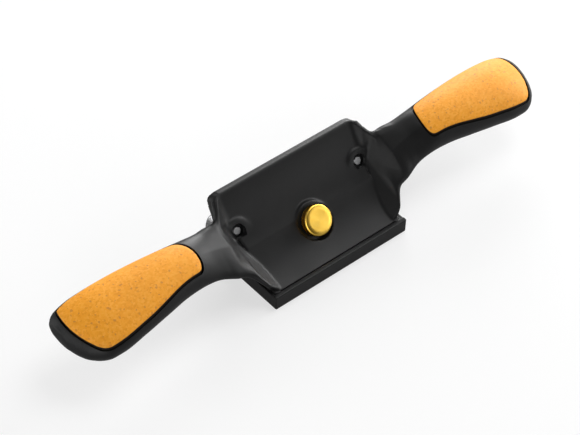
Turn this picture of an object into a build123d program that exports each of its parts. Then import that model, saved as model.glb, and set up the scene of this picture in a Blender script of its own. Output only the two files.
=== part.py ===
"""A double-handled cabinet scraper plane: one casting, cork grips, a blade, its clamp and its bow screw.

Frame: +X to the right handle, +Y forward, away from the user, +Z up. The sole lies on z = 0 and the origin
is the middle of the sole's outline. Everything is in millimetres.
"""
import math
import os
from typing import NamedTuple

from build123d import *

# ---------------------------------------------------------------- driving dimensions
# sole
sole_width = 85.0
sole_length = 59.2
rear_block_height = 8.0
front_sole_thickness = 5.0
sole_corner_radius = 1.6
# bed plate: leans forward, its front face carries the blade
bed_lean = 27.8
bed_foot_y = -0.9
bed_slant = 45.8
bed_thickness = 5.4
plate_end_margin = 7.1
plate_corner_radius = 5.0
plate_reach = 20.0
plate_edge_round = 1.1
plate_cap = 3.0
block_width = 80.0
# web: fills the corner between a plate end and the handle, behind the plate, hollowed by a round
# at its top; past web_turn_x its front runs back to a point at web_outer_x
web_inner_x = 43.0
web_turn_x = 46.0
web_outer_x = 54.0
web_top = 43.0
web_middle = 34.0
web_low = 27.0
web_depth = 5.6
web_overlap = 1.0
web_hollow_radius = 11.0
web_hollow_x = 57.0
web_hollow_slant = 44.6
# rear panel: rises from the lip to the fold line on the plate
lip_width = 2.4
lip_step = 0.4
lip_edge_round = 0.6
block_inset = 1.0
hole_overrun = 1.0
panel_start_height = 7.6
fold_slant = 27.0
# mouth
mouth_length = 8.0
mouth_flare = 45.0
blade_side_clearance = 1.5
# blade
blade_width = 70.0
blade_length = 42.0
blade_thickness = 1.2
blade_edge_angle = 45.0
blade_bed_clearance = 0.05
# clamp
clamp_blade_gap = 1.4
clamp_slant = 24.8
clamp_bar_end_margin = 5.1
clamp_bar_height = 14.0
clamp_bar_thickness = 3.4
clamp_bar_relief = 0.8
clamp_room_width = 96.0
clamp_room_reach = 32.0
clamp_room_depth = 24.0
clamp_bar_land = 6.0
clamp_screw_radius = 2.5
clamp_hole_clearance = 0.05
clamp_head_radius = 6.3
clamp_head_height = 5.8
clamp_collar_radius = 4.4
clamp_collar_height = 1.0
clamp_head_gap = 0.05
clamp_socket_depth = 4.0
clamp_end_recess = 0.8
boss_radius = 6.4
boss_proud = 2.4
boss_recess_radius = 3.4
boss_recess_depth = 1.6
boss_edge_round = 0.6
# bow screw: pushes the middle of the blade forward
bow_axis_rise = 38.0
bow_face_y = -11.3
bow_face_z = 20.1
bow_knob_radius = 7.95
bow_knob_height = 4.4
bow_knob_chamfer = 0.5
bow_boss_radius = 9.9
bow_boss_gap = 0.8
bow_boss_depth = 8.0
bow_spot_depth = 12.0
bow_bore_depth = 16.0
bow_screw_radius = 3.0
bow_hole_clearance = 0.05
bow_tip_gap = 0.08
bow_tip_chamfer = 0.6
bow_knob_cap = 1.4
head_bore_clearance = 0.05
screw_end_chamfer = 0.5
bar_blade_clearance = 0.05
bar_screw_clearance = 0.05
bar_hole_clearance = 0.1
bar_edge_round = 0.8
clamp_head_chamfer = 0.5
blade_edge_height = 0.05
# handles and their cork
cork_thickness = 4.0
cork_end_share = 0.45
cork_groove = 0.6
glue_line = 0.1
pad_inner_x = 70.5
pad_end_radius = 30.4
pad_end_x = 112.0
pad_rear_inset = 1.6
pad_front_inset = 1.8
pad_rim_start = 6.0
pad_rim_reach_share = 0.75
pad_rear_corner_inset = 1.5


class Station(NamedTuple):
    """One cross-section of the handle: where it is, how big it is and how it tilts."""

    reach: float  # along X from the middle of the tool
    sweep: float  # centre along Y
    rise: float  # centre along Z
    half_width: float
    crown: float  # centre to top
    belly: float  # centre to underside
    tilt: float  # degrees, front edge up


handle_stations = [
    Station(36.0, -5.5, 12.2, 20.0, 13.0, 6.0, 27.0),
    Station(42.0, -6.0, 17.6, 20.3, 14.0, 8.5, 24.0),
    Station(48.0, -5.0, 22.9, 17.4, 11.4, 8.0, 17.0),
    Station(55.0, -3.6, 26.2, 14.7, 8.2, 7.6, 16.0),
    Station(63.0, -3.3, 29.0, 13.0, 8.1, 8.0, 20.0),
    Station(72.0, -3.3, 30.8, 12.6, 9.0, 8.8, 22.0),
    Station(84.0, -3.3, 31.5, 13.5, 10.0, 9.6, 18.0),
    Station(98.0, -3.7, 31.1, 15.5, 10.8, 10.0, 13.0),
    Station(112.0, -4.2, 30.4, 17.2, 11.0, 10.2, 12.0),
    Station(127.0, -4.7, 29.3, 18.2, 10.6, 10.0, 12.0),
    Station(134.0, -4.3, 28.8, 17.7, 9.4, 9.2, 12.0),
    Station(139.0, -3.1, 28.6, 15.8, 7.8, 7.8, 12.0),
    Station(142.5, -1.7, 28.6, 13.4, 6.1, 6.2, 12.0),
    Station(145.0, -0.1, 28.8, 9.9, 4.3, 4.4, 12.0),
    Station(146.6, 1.5, 29.0, 5.8, 2.6, 2.6, 12.0),
    Station(147.3, 3.2, 29.1, 2.4, 1.0, 1.0, 12.0),
]
# flank: the flat inner side of the handle's root, facing the panel on the right
flank_point = (36.6, -26.0, 8.0)
flank_normal = (-0.648, -0.261, 0.716)
flank_cut = 60.0

# ---------------------------------------------------------------- planes and places worked out
lean = math.radians(bed_lean)
rise = math.radians(bow_axis_rise)
bed_up = Vector(0, math.sin(lean), math.cos(lean))
bed_out = Vector(0, math.cos(lean), -math.sin(lean))  # from the bed towards the clamp
bed_foot = Vector(0, bed_foot_y, 0)
bow_out = Vector(0, -math.cos(rise), math.sin(rise))  # from the blade towards the user

bed_axis = Axis((0, 0, 0), bed_out)
bow_axis = Axis((0, 0, 0), bow_out)
half_sole = sole_length / 2
mouth_width = blade_width + 2 * blade_side_clearance
clamp_spacing = blade_width + 2 * (clamp_screw_radius + clamp_blade_gap)
clamp_bar_length = clamp_spacing + 2 * clamp_bar_end_margin
plate_width = clamp_spacing + 2 * plate_end_margin


def on_bed(x, slant, out=0.0):
    """A point on the bed: x across, slant up the slope and out in front of its face."""
    return Vector(x, 0, 0) + bed_foot + bed_up * slant + bed_out * out


def bed_plane(x, slant, out=0.0):
    """A plane on the bed that faces the clamp, its own y running up the slope."""
    return Plane(origin=on_bed(x, slant, out), x_dir=(-1, 0, 0), z_dir=bed_out)


fold_point = on_bed(0, fold_slant, -bed_thickness)
top_rear = on_bed(0, bed_slant, -bed_thickness)
top_front = on_bed(0, bed_slant)
bow_face = Vector(0, bow_face_y, bow_face_z)
bow_boss_face = bow_face - bow_out * (bow_knob_height + bow_boss_gap)


def bow_plane(origin):
    """A plane square to the bow screw that faces the user."""
    return Plane(origin=origin, x_dir=(1, 0, 0), z_dir=bow_out)


def side_plane(x):
    """A plane across the tool at x, with its own axes along Y and Z."""
    return Plane(origin=(x, 0, 0), x_dir=(0, 1, 0), z_dir=(1, 0, 0))


def loft_handle(lowered=0.0, gap=0.0, deepened=0.0):
    """The right handle's form through its stations, its top lowered and its underside deepened."""
    with BuildPart() as form:
        for s in handle_stations:
            centre = (s.sweep, s.rise)
            with BuildSketch(side_plane(s.reach)):
                with BuildLine():
                    top = s.crown - min(lowered, s.crown * cork_end_share) - gap
                    EllipticalCenterArc(centre, s.half_width, top, 0, arc_size=180, rotation=s.tilt)
                    EllipticalCenterArc(centre, s.half_width, s.belly + deepened, 180, arc_size=180, rotation=s.tilt)
                make_face()
        loft()
    return form.part


# ---------------------------------------------------------------- handle and cork, right side
with BuildPart() as handle_cut:
    add(loft_handle())
    with BuildSketch(Plane(origin=flank_point, z_dir=flank_normal)):
        Rectangle(2 * flank_cut, 2 * flank_cut)
    extrude(amount=flank_cut, mode=Mode.SUBTRACT)
handle_form = handle_cut.part
cork_underside = loft_handle(cork_thickness, 0.0, cork_thickness)
pocket_floor = loft_handle(cork_thickness, glue_line, cork_thickness)
handle_top = 60.0


def rim_points(front, grow):
    """Points of the cork's rim along the front or rear of the handle, grown outwards."""
    points = []
    for s in handle_stations:
        if pad_inner_x + pad_rim_start < s.reach < pad_end_x + pad_rim_reach_share * pad_end_radius:
            half = s.half_width * math.cos(math.radians(s.tilt))
            if front:
                points.append((s.reach, s.sweep + half - pad_front_inset + grow))
            else:
                points.append((s.reach, s.sweep - half + pad_rear_inset - grow))
    return points


def pad_end_point(y, grow):
    """Where the butt end of the cork, grown outwards, crosses y."""
    return (pad_end_x + math.sqrt((pad_end_radius + grow) ** 2 - y**2), y)


def pad_column(grow, floor, inside):
    """The cork's outline, grown outwards, drawn up from the ground and kept above a floor form."""
    rear_rim = rim_points(False, grow)
    front_rim = rim_points(True, grow)
    middle = (rear_rim[0][1] + front_rim[0][1]) / 2
    with BuildPart() as column:
        with BuildSketch():
            with BuildLine():
                rear_line = Spline(*rear_rim)
                front_line = Spline(*front_rim)
                rear_corner = pad_end_point(rear_rim[-1][1] + pad_rear_corner_inset, grow)
                front_corner = pad_end_point(front_rim[-1][1], grow)
                Line(rear_line @ 1, rear_corner)
                ThreePointArc(rear_corner, pad_end_point(0.0, grow), front_corner)
                Line(front_corner, front_line @ 1)
                ThreePointArc(rear_line @ 0, (pad_inner_x - grow, middle), front_line @ 0)
            make_face()
        extrude(amount=handle_top)
        if inside is not None:
            add(inside, mode=Mode.INTERSECT)
        add(floor, mode=Mode.SUBTRACT)
    return column.part


cork_right = pad_column(0.0, cork_underside, handle_form)
cork_pocket = pad_column(cork_groove, pocket_floor, None)

# ---------------------------------------------------------------- body casting
lip_front_y = -half_sole + lip_width
mouth_front_y = bed_foot_y + mouth_length
plate_top = on_bed(0, bed_slant - plate_cap)
plate_top_rear = on_bed(0, bed_slant - plate_cap, -bed_thickness)

# sole: full height behind the mouth, thinner in front of it
with BuildPart() as sole_slab:
    with BuildSketch(side_plane(-sole_width / 2)):
        with BuildLine():
            Polyline(
                (-half_sole, 0),
                (-half_sole, rear_block_height),
                (lip_front_y, rear_block_height),
                (lip_front_y + lip_step, rear_block_height - lip_step),
                (bed_foot_y, panel_start_height),
                (mouth_front_y + front_sole_thickness, front_sole_thickness),
                (half_sole, front_sole_thickness),
                (half_sole, 0),
                close=True,
            )
        make_face()
    extrude(amount=sole_width)
    uprights = sole_slab.edges().filter_by(Axis.Z)
    fillet(uprights.group_by(Axis.Y)[0] + uprights.group_by(Axis.Y)[-1], sole_corner_radius)
    fillet(sole_slab.faces().group_by(Axis.Y)[0].edges().group_by(Axis.Z)[-1], lip_edge_round)

# upper plate with rounded corners and edges
with BuildPart() as upper_plate:
    with BuildSketch(bed_plane(0, bed_slant - plate_reach / 2)):
        RectangleRounded(plate_width, plate_reach, plate_corner_radius)
    extrude(amount=-bed_thickness)
    fillet(upper_plate.faces().filter_by(bed_axis).edges(), plate_edge_round)

# boss behind each clamp screw
with BuildPart() as clamp_boss:
    with BuildSketch(bed_plane(clamp_spacing / 2, clamp_slant)):
        Circle(boss_radius)
    extrude(amount=-(bed_thickness + boss_proud))
    fillet(clamp_boss.edges().filter_by(GeomType.CIRCLE).sort_by(bed_axis)[0], boss_edge_round)

# web on the right, tapering to nothing at the plate's upper corner
with BuildPart() as web:
    with BuildSketch(side_plane(web_inner_x)):
        with BuildLine():
            Polyline(*[
                (on_bed(0, slant, out).Y, on_bed(0, slant, out).Z)
                for slant, out in (
                    (web_top, -bed_thickness),
                    (web_middle, -bed_thickness - web_depth),
                    (web_low, -bed_thickness - web_depth),
                    (web_low, -bed_thickness + web_overlap),
                    (web_top, -bed_thickness + web_overlap),
                )
            ], close=True)
        make_face()
    extrude(amount=web_outer_x - web_inner_x)
    with BuildSketch(bed_plane(web_hollow_x, web_hollow_slant)):
        Circle(web_hollow_radius)
    extrude(amount=-2 * web_hollow_radius, mode=Mode.SUBTRACT)
    with BuildSketch(Plane(origin=on_bed(0, 0, -bed_thickness), x_dir=(1, 0, 0), z_dir=bed_up)):
        with BuildLine():
            Polyline(
                (web_inner_x, web_overlap),
                (web_turn_x, web_overlap),
                (web_outer_x, -web_depth),
                (web_inner_x, -web_depth),
                close=True,
            )
        make_face()
    extrude(amount=web_top, mode=Mode.INTERSECT)

with BuildPart() as body_casting:
    # bed and the block under the rear panel, one profile across the tool
    with BuildSketch(side_plane(-block_width / 2)):
        with BuildLine():
            Polyline(
                (-half_sole + block_inset, block_inset),
                (-half_sole + block_inset, panel_start_height),
                (lip_front_y, panel_start_height),
                (fold_point.Y, fold_point.Z),
                (plate_top_rear.Y, plate_top_rear.Z),
                (plate_top.Y, plate_top.Z),
                (bed_foot_y, 0),
                (bed_foot_y - block_inset, 0),
                close=True,
            )
        make_face()
    extrude(amount=block_width)
    add(upper_plate.part)
    add(sole_slab.part)
    # handles
    add(handle_form)
    mirror(handle_form, about=Plane.YZ)
    add(web.part)
    mirror(web.part, about=Plane.YZ)
    # mouth and the room above it for the blade and the shavings
    with BuildSketch(side_plane(-mouth_width / 2)):
        with BuildLine():
            Polyline(
                (bed_foot_y, -hole_overrun),
                (bed_foot_y, 0),
                (top_front.Y, top_front.Z),
                (top_front.Y + half_sole, top_front.Z),
                (mouth_front_y + front_sole_thickness, front_sole_thickness),
                (mouth_front_y, 0),
                (mouth_front_y, -hole_overrun),
                close=True,
            )
        make_face()
    extrude(amount=mouth_width, mode=Mode.SUBTRACT)
    # room in front of the bed for the clamp bar and the screw heads
    with BuildSketch(bed_plane(0, bed_slant)):
        with Locations((0, -clamp_room_reach / 2)):
            Rectangle(clamp_room_width, clamp_room_reach)
    extrude(amount=clamp_room_depth, mode=Mode.SUBTRACT)
    # bosses
    add(clamp_boss.part)
    mirror(clamp_boss.part, about=Plane.YZ)
    with BuildSketch(bow_plane(bow_boss_face)):
        Circle(bow_boss_radius)
    extrude(amount=-bow_boss_depth)
    with BuildSketch(bow_plane(bow_boss_face)):
        Circle(bow_boss_radius)
    extrude(amount=bow_spot_depth, mode=Mode.SUBTRACT)
    # screw holes, plain bores, with a shallow recess round each clamp screw's end
    for side in (-1, 1):
        with BuildSketch(bed_plane(side * clamp_spacing / 2, clamp_slant, hole_overrun)):
            Circle(clamp_screw_radius + clamp_hole_clearance)
        extrude(amount=-(bed_thickness + boss_proud + 2 * hole_overrun), mode=Mode.SUBTRACT)
        with BuildSketch(bed_plane(side * clamp_spacing / 2, clamp_slant, -bed_thickness - boss_proud)):
            Circle(boss_recess_radius)
        extrude(amount=boss_recess_depth, mode=Mode.SUBTRACT)
    with BuildSketch(bow_plane(bow_boss_face)):
        Circle(bow_screw_radius + bow_hole_clearance)
    extrude(amount=-bow_bore_depth, mode=Mode.SUBTRACT)
    # pockets for the cork
    add(cork_pocket, mode=Mode.SUBTRACT)
    mirror(cork_pocket, about=Plane.YZ, mode=Mode.SUBTRACT)
body_casting.part.label = "body_casting"

# ---------------------------------------------------------------- blade
edge_run = blade_thickness * math.tan(math.radians(blade_edge_angle))
with BuildPart() as scraper_blade:
    with BuildSketch(side_plane(-blade_width / 2)):
        with BuildLine():
            near = blade_bed_clearance
            far = blade_bed_clearance + blade_thickness
            foot = (blade_edge_height + far * bed_out.Z * -1) / bed_up.Z
            Polyline(*[
                (on_bed(0, slant, out).Y, on_bed(0, slant, out).Z)
                for slant, out in (
                    (foot + edge_run, near),
                    (foot + blade_length, near),
                    (foot + blade_length, far),
                    (foot, far),
                )
            ], close=True)
        make_face()
    extrude(amount=blade_width)
scraper_blade.part.label = "scraper_blade"

# ---------------------------------------------------------------- clamp bar
bar_back = blade_bed_clearance + blade_thickness + bar_blade_clearance
with BuildPart() as clamp_bar:
    with BuildSketch(bed_plane(0, clamp_slant, bar_back)):
        SlotOverall(clamp_bar_length, clamp_bar_height)
    extrude(amount=clamp_bar_thickness)
    with BuildSketch(bed_plane(0, clamp_slant, bar_back)):
        Rectangle(blade_width - 2 * clamp_bar_land, clamp_bar_height + 2 * hole_overrun)
    extrude(amount=clamp_bar_relief, mode=Mode.SUBTRACT)
    for side in (-1, 1):
        with BuildSketch(bed_plane(side * clamp_spacing / 2, clamp_slant, bar_back)):
            Circle(clamp_screw_radius + bar_hole_clearance)
        extrude(amount=clamp_bar_thickness, mode=Mode.SUBTRACT)
    fillet(clamp_bar.faces().sort_by(bed_axis)[-1].outer_wire().edges(), bar_edge_round)
clamp_bar.part.label = "clamp_bar"

# ---------------------------------------------------------------- clamp thumb screws
collar_back = bar_back + clamp_bar_thickness + bar_screw_clearance
head_back = collar_back + clamp_collar_height
screw_tip = -bed_thickness - boss_proud + clamp_end_recess


def clamp_stud(x):
    """A clamp screw's threaded stud with the collar that bears on the bar."""
    with BuildPart() as stud:
        with BuildSketch(bed_plane(x, clamp_slant, screw_tip)):
            Circle(clamp_screw_radius)
        extrude(amount=head_back + clamp_socket_depth - screw_tip)
        chamfer(stud.edges().filter_by(GeomType.CIRCLE).sort_by(bed_axis)[0], screw_end_chamfer)
        with BuildSketch(bed_plane(x, clamp_slant, collar_back)):
            Circle(clamp_collar_radius)
        extrude(amount=clamp_collar_height)
    return stud.part


def clamp_head(x):
    """A clamp screw's knurled head, bored for its stud."""
    with BuildPart() as head:
        with BuildSketch(bed_plane(x, clamp_slant, head_back + clamp_head_gap)):
            Circle(clamp_head_radius)
        extrude(amount=clamp_head_height)
        chamfer(head.edges(), clamp_head_chamfer)
        with BuildSketch(bed_plane(x, clamp_slant, head_back + clamp_head_gap)):
            Circle(clamp_screw_radius + head_bore_clearance)
        extrude(amount=clamp_socket_depth + head_bore_clearance, mode=Mode.SUBTRACT)
    return head.part


clamp_stud_left = clamp_stud(-clamp_spacing / 2)
clamp_stud_right = clamp_stud(clamp_spacing / 2)
clamp_head_left = clamp_head(-clamp_spacing / 2)
clamp_head_right = clamp_head(clamp_spacing / 2)
clamp_stud_left.label = "clamp_stud_left"
clamp_stud_right.label = "clamp_stud_right"
clamp_head_left.label = "clamp_head_left"
clamp_head_right.label = "clamp_head_right"

# ---------------------------------------------------------------- bow screw
bow_inward = (-bow_out).dot(bed_out)
bow_tip_lean = math.sqrt(1 - bow_inward**2)
bow_reach = (
    (on_bed(0, 0, blade_bed_clearance - bow_tip_gap) - bow_face).dot(bed_out)
    - (bow_screw_radius - bow_tip_chamfer) * bow_tip_lean
) / bow_inward
with BuildPart() as bow_stud:
    with BuildSketch(bow_plane(bow_face - bow_out * bow_reach)):
        Circle(bow_screw_radius)
    extrude(amount=bow_reach - bow_knob_cap)
    chamfer(bow_stud.edges().filter_by(GeomType.CIRCLE).sort_by(bow_axis)[0], bow_tip_chamfer)
bow_stud.part.label = "bow_stud"

with BuildPart() as bow_knob:
    with BuildSketch(bow_plane(bow_face - bow_out * bow_knob_height)):
        Circle(bow_knob_radius)
    extrude(amount=bow_knob_height)
    chamfer(bow_knob.edges(), bow_knob_chamfer)
    with BuildSketch(bow_plane(bow_face - bow_out * bow_knob_height)):
        Circle(bow_screw_radius + head_bore_clearance)
    extrude(amount=bow_knob_height - bow_knob_cap + head_bore_clearance, mode=Mode.SUBTRACT)
bow_knob.part.label = "bow_knob"

# ---------------------------------------------------------------- write every piece
cork_right.label = "cork_grip_right"
cork_left = mirror(cork_right, about=Plane.YZ)
cork_left.label = "cork_grip_left"
pieces = [
    body_casting.part,
    cork_left,
    cork_right,
    scraper_blade.part,
    clamp_bar.part,
    clamp_stud_left,
    clamp_stud_right,
    clamp_head_left,
    clamp_head_right,
    bow_stud.part,
    bow_knob.part,
]
os.makedirs("parts", exist_ok=True)
for piece in pieces:
    export_step(piece, f"parts/{piece.label}.step")
    print(piece.label, round(piece.volume, 1), "mm3")
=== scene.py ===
# %% [markdown]
# # A cabinet scraper plane with cork-faced handles
#
# The real tool is one iron casting: a flat sole, a plate that leans forward over the mouth, and two long
# handles that sweep out and up from it. The blade stands against the front of the leaning plate, held by a
# bar and two thumb screws, and a brass knob behind it bends the blade by a hair. Each handle has a pad of
# cork let into its top.
#
# The measured CAD model comes in first and never moves. Everything made here is fitted around it, in metres.

import math

import bpy
import numpy as np
from mathutils import Matrix, Vector


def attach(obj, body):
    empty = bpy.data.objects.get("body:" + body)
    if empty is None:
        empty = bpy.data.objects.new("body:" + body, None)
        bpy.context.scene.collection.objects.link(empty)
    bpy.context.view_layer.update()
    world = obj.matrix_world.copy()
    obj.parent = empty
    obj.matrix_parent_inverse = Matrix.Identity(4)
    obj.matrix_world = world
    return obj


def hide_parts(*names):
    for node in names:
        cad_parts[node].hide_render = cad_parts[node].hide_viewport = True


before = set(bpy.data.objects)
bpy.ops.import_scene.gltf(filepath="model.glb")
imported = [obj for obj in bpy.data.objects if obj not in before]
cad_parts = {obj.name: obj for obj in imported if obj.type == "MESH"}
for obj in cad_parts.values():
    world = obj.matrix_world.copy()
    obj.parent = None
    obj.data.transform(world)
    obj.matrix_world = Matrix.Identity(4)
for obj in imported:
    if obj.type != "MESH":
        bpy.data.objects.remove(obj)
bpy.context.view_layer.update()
print("nodes:", sorted(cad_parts))
MM = 0.001

# %% [markdown]
# ## The camera first
#
# The camera decides which details matter, so it is placed before anything is modelled. It looks over the
# user's left shoulder, down on the back of the tool. Its place and turn are given as a position and three
# directions: right, up and backwards. A long lens keeps the two handles nearly the same size.

# %% Camera
cam_data = bpy.data.cameras.new("camera")
SENSOR_WIDTH = 36.0
FRAME_WIDTH = 580.0
FOCAL_LENGTH = 1923.36  # in the same unit as the frame's width
cam_data.sensor_width = SENSOR_WIDTH
cam_data.lens = FOCAL_LENGTH * SENSOR_WIDTH / FRAME_WIDTH
cam_data.clip_start = 0.01
cam_data.clip_end = 20.0
camera = bpy.data.objects.new("camera", cam_data)
bpy.context.scene.collection.objects.link(camera)
to_right = Vector((0.76238, -0.64672, 0.02292))
to_up = Vector((0.4481, 0.55314, 0.70231))
to_back = Vector((-0.46688, -0.52516, 0.7115))
turn = Matrix((to_right, to_up, to_back)).transposed()
camera.matrix_world = Matrix.Translation(Vector((-0.4489, -0.4947, 0.6891))) @ turn.to_4x4()
bpy.context.scene.camera = camera
print("lens", round(cam_data.lens, 1), "mm")

# %% [markdown]
# ## Small helpers
#
# Every new piece is a sheet of points worked out as whole arrays: a row for one direction, a column for the
# other. One helper turns such a sheet into a mesh. It can join the last column to the first for a ring, and
# close the first and last row with a cap.


# %% Sheets of points to meshes
def mesh_object(name, points, faces, smooth_angle=35.0):
    """A mesh from an array of points in millimetres and an array of faces, all with the same corner count."""
    mesh = bpy.data.meshes.new(name)
    faces = np.asarray(faces, np.int32)
    corners = faces.shape[1]
    mesh.vertices.add(len(points))
    mesh.vertices.foreach_set("co", (np.asarray(points, np.float64) * MM).astype(np.float32).ravel())
    mesh.loops.add(faces.size)
    mesh.loops.foreach_set("vertex_index", faces.ravel())
    mesh.polygons.add(len(faces))
    mesh.polygons.foreach_set("loop_start", np.arange(len(faces), dtype=np.int32) * corners)
    mesh.polygons.foreach_set("use_smooth", np.ones(len(faces), bool))
    mesh.update(calc_edges=True)
    mesh.validate()
    mesh.set_sharp_from_angle(angle=math.radians(smooth_angle))
    obj = bpy.data.objects.new(name, mesh)
    bpy.context.scene.collection.objects.link(obj)
    return obj


def grid_faces(rows, columns, ring=False):
    """Four-cornered faces of a grid of points, rows by columns; a ring joins its last column to its first."""
    index = np.arange(rows * columns).reshape(rows, columns)
    after = np.roll(index, -1, axis=1)
    if not ring:
        index, after = index[:, :-1], after[:, :-1]
    return np.stack([index[:-1], after[:-1], after[1:], index[1:]], -1).reshape(-1, 4)


def ring_solid(name, sheet, smooth_angle=35.0):
    """A closed solid from rings of points: the rings are joined, and a fan closes each end at its middle."""
    rows, columns, _ = sheet.shape
    points = np.concatenate([sheet.reshape(-1, 3), sheet[:1].mean(1), sheet[-1:].mean(1)])
    walls = grid_faces(rows, columns, ring=True)
    first = np.arange(columns)
    last = (rows - 1) * columns + first
    start, end = rows * columns, rows * columns + 1
    fans = [
        np.stack([np.full(columns, start), np.roll(first, -1), first], -1),
        np.stack([np.full(columns, end), last, np.roll(last, -1)], -1),
    ]
    split = np.concatenate([walls[:, [0, 1, 2]], walls[:, [0, 2, 3]], *fans])
    corner = points[split]
    if np.einsum("ij,ij->i", corner[:, 0], np.cross(corner[:, 1], corner[:, 2])).sum() < 0:
        split = split[:, ::-1]
    return mesh_object(name, points, split, smooth_angle)


def profile_rings(profile, turns, origin, across, up, axis, swell=None):
    """Turns a profile of (distance along the axis, radius) about an axis, as rings of points.

    A point is origin + axis * distance + radius * (across * cos + up * sin). swell adds to the radius as a
    function of the angle, the distance and the radius, for knurls and threads.
    """
    profile = np.asarray(profile, float)
    angle = np.linspace(0, 2 * np.pi, turns, endpoint=False)
    along = profile[:, 0][:, None] + 0 * angle[None]
    radius = profile[:, 1][:, None] + 0 * angle[None]
    if swell is not None:
        radius = radius + swell(angle[None], along, radius)
    ring = np.cos(angle)[None, :, None] * across + np.sin(angle)[None, :, None] * up
    return origin + axis * along[..., None] + ring * radius[..., None]


# %% [markdown]
# ## The lines the tool is built on
#
# The front of the plate is the bed. It starts behind the mouth and leans forward by 27.8 degrees. Two
# directions go with it: up the slope, and straight out of the bed towards the clamp. The knob's axis is 38
# degrees above level. All sizes in this file are in millimetres until a mesh is made.

# %% Bed and knob directions
LEAN = math.radians(27.8)
bed_up = np.array([0.0, math.sin(LEAN), math.cos(LEAN)])
bed_out = np.array([0.0, math.cos(LEAN), -math.sin(LEAN)])
BED_FOOT_Y = -0.9
bed_foot = np.array([0.0, BED_FOOT_Y, 0.0])
KNOB_RISE = math.radians(38.0)
knob_axis = np.array([0.0, -math.cos(KNOB_RISE), math.sin(KNOB_RISE)])
knob_face = np.array([0.0, -11.3, 20.1])
right = np.array([1.0, 0.0, 0.0])
SCREW_X = 38.9  # the clamp screws: across from the middle, and up the slope
SCREW_SLANT = 24.8
BOSS_BACK = -7.8  # rear face of their bosses, behind the bed
KNOB_STANDS = 5.2  # from the knob's face down to its boss
KNOB_HEIGHT = 4.4


def on_bed(x, slant, out=0.0):
    """A point on the bed: x across, slant up the slope, out in front of it."""
    return bed_foot + right * x + bed_up * slant + bed_out * out


def bed_place(y, z):
    """The same two coordinates, slant and out, of points given by y and z."""
    slant = (y - BED_FOOT_Y) * bed_up[1] + z * bed_up[2]
    out = (y - BED_FOOT_Y) * bed_out[1] + z * bed_out[2]
    return slant, out


print("bed slope", bed_up.round(3), "knob axis", knob_axis.round(3))

# %% [markdown]
# ## The casting as a field of distances
#
# A casting has no hard inside corners: wherever two forms meet, the pattern maker rounds the join. Lofted
# sheets would have to be trimmed and stitched at every join, so here the casting is a field instead: a
# function that gives, for any point in space, roughly how far it is from the surface, negative inside.
# Joining two forms is taking the smaller distance, and a rounded join is a smaller distance that is eased
# where the two are nearly equal.


# %% Joining and cutting distances
def soft_join(a, b, ease):
    """The smaller of two distances, rounded over where they differ by less than ease."""
    h = np.clip(ease - np.abs(a - b), 0, None) / ease
    return np.minimum(a, b) - h * h * ease * 0.25


def soft_common(a, b, ease):
    """The larger of two distances, for what two forms have in common, rounded at the edge."""
    return -soft_join(-a, -b, ease)


def rounded_box(p, q, r, size, edge):
    """Distance to a box of half sizes `size` along three coordinates, its edges rounded by `edge`."""
    d = [np.abs(c) - (s - edge) for c, s in zip((p, q, r), size)]
    outside = np.sqrt(sum(np.clip(c, 0, None) ** 2 for c in d))
    return outside + np.minimum(np.maximum(np.maximum(d[0], d[1]), d[2]), 0) - edge


# %% [markdown]
# ## The handle's cross-sections
#
# A handle is a row of ovals set along the tool. Each has a place, a half width, a height above its middle, a
# depth below it, and a tilt. Between them the values run on smooth curves.

# %% Handle stations
# reach, sweep, rise, half width, crown, belly, tilt in degrees, squareness of the top
stations = np.array([
    (30.0, -5.5, 10.0, 20.0, 13.0, 6.0, 27.0, 3.0),
    (36.0, -6.1, 12.8, 20.8, 12.6, 6.0, 24.0, 3.0),
    (42.0, -5.9, 18.6, 20.1, 10.8, 7.6, 22.0, 3.4),
    (48.0, -3.5, 22.0, 15.2, 9.5, 6.8, 21.9, 3.2),
    (55.0, -2.7, 24.9, 14.6, 9.0, 6.0, 21.0, 3.6),
    (63.0, -2.8, 28.2, 12.8, 8.3, 6.8, 24.0, 2.6),
    (72.0, -3.3, 30.8, 12.6, 9.0, 8.8, 22.0, 2.0),
    (84.0, -3.3, 31.5, 13.5, 10.0, 9.6, 18.0, 2.0),
    (98.0, -3.7, 31.1, 15.5, 10.8, 10.0, 13.0, 2.0),
    (112.0, -4.2, 30.4, 17.2, 11.0, 10.2, 12.0, 2.0),
    (127.0, -4.7, 29.3, 18.2, 10.6, 10.0, 12.0, 2.0),
    (134.0, -4.3, 28.8, 17.7, 9.4, 9.2, 12.0, 2.0),
    (139.0, -3.1, 28.6, 15.8, 7.8, 7.8, 12.0, 2.0),
    (142.5, -1.7, 28.6, 13.4, 6.1, 6.2, 12.0, 2.0),
    (145.0, -0.1, 28.8, 9.9, 4.3, 4.4, 12.0, 2.0),
    (146.6, 1.5, 29.0, 5.8, 2.6, 2.6, 12.0, 2.0),
    (147.3, 3.2, 29.1, 1.2, 0.6, 0.6, 12.0, 2.0),
])


def smooth_curve(x, knots, values):
    """A curve through knots made of cubic pieces.

    Its slope at each knot is the mean of the slopes on both sides, the nearer one weighing more.
    """
    gap = np.diff(knots)
    step = np.diff(values) / gap
    inner = (step[:-1] * gap[1:] + step[1:] * gap[:-1]) / (gap[1:] + gap[:-1])
    slope = np.concatenate([step[:1], inner, step[-1:]])
    i = np.clip(np.searchsorted(knots, x) - 1, 0, len(gap) - 1)
    g = gap[i]
    t = np.clip((x - knots[i]) / g, 0, 1)
    return (
        values[i] * (1 + 2 * t) * (1 - t) ** 2
        + slope[i] * g * t * (1 - t) ** 2
        + values[i + 1] * t * t * (3 - 2 * t)
        + slope[i + 1] * g * t * t * (t - 1)
    )


def handle_section(reach):
    """The oval's six values and the squareness at one reach or an array of them."""
    return [smooth_curve(reach, stations[:, 0], stations[:, k]) for k in range(1, 8)]


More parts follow.
